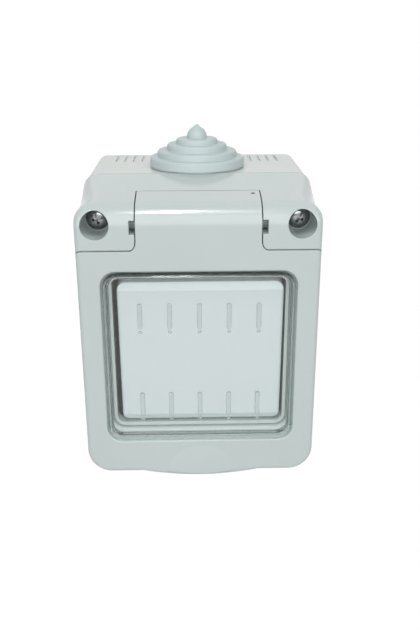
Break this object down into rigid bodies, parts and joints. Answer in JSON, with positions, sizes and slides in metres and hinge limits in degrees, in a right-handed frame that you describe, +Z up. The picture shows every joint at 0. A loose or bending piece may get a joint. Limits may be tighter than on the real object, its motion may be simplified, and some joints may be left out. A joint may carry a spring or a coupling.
{
  "type": "outdoor weatherproof light switch",
  "caption": "Surface mounted weatherproof light switch with a hinged lid, clear press membrane over a rocker, screwed front cover, back box and stepped rubber cable gland.",
  "frame": {"origin": "centre of the back face of the box, on the wall plane", "axes": "+Z up as mounted, +Y into the wall, so the lid looks along -Y; +X to the right seen from the front"},
  "size_m": [0.07, 0.0643, 0.104],
  "materials": {
    "box_white": "fine satin",
    "cover_grey": "fine satin",
    "clear_membrane": "clear, slightly soft",
    "rocker_white": "smooth",
    "gland_rubber": "soft matt",
    "seal_rubber": "soft matt",
    "block_grey": "moulded",
    "steel": "zinc plated",
    "brass": "bare",
    "contact_metal": "silver alloy, bare"
  },
  "bodies": {
    "case": {"base_box": "box_white", "base_gasket": "seal_rubber", "cable_gland": "gland_rubber", "front_cover": "cover_grey", "cover_screws": "steel", "mechanism_body": "block_grey", "mechanism_screws": "steel", "rocker_cradle": "block_grey", "common_terminal": "brass", "load_terminal": "brass", "fixed_contact_tip": "contact_metal", "terminal_clamps": "brass", "terminal_screws": "steel"},
    "lid": {"hinged_lid": "cover_grey", "lid_window": "clear_membrane", "window_retainer": "cover_grey", "lid_seal": "seal_rubber"},
    "key": {"rocker": "rocker_white", "rocker_plunger": "rocker_white", "plunger_spring": "steel"},
    "contact": {"contact_blade": "brass", "moving_contact_tip": "contact_metal"}
  },
  "joints": [
    {"name": "lid_hinge", "type": "hinge", "parent": "case", "child": "lid", "pos_m": [0, -0.0565, 0.03411], "axis": [-1, 0, 0], "range_deg": [0, 110]},
    {"name": "rocker_tilt", "type": "hinge", "parent": "case", "child": "key", "pos_m": [0.0004, -0.05, -0.00615], "axis": [-1, 0, 0], "range_deg": [0, 6]},
    {"name": "contact_tilt", "type": "hinge", "parent": "case", "child": "contact", "pos_m": [0.0004, -0.037, -0.00615], "axis": [1, 0, 0], "range_deg": [0, 9]}
  ],
  "couplings": [
    {"joint": "contact_tilt", "follows": "rocker_tilt", "ratio": 1.5}
  ]
}
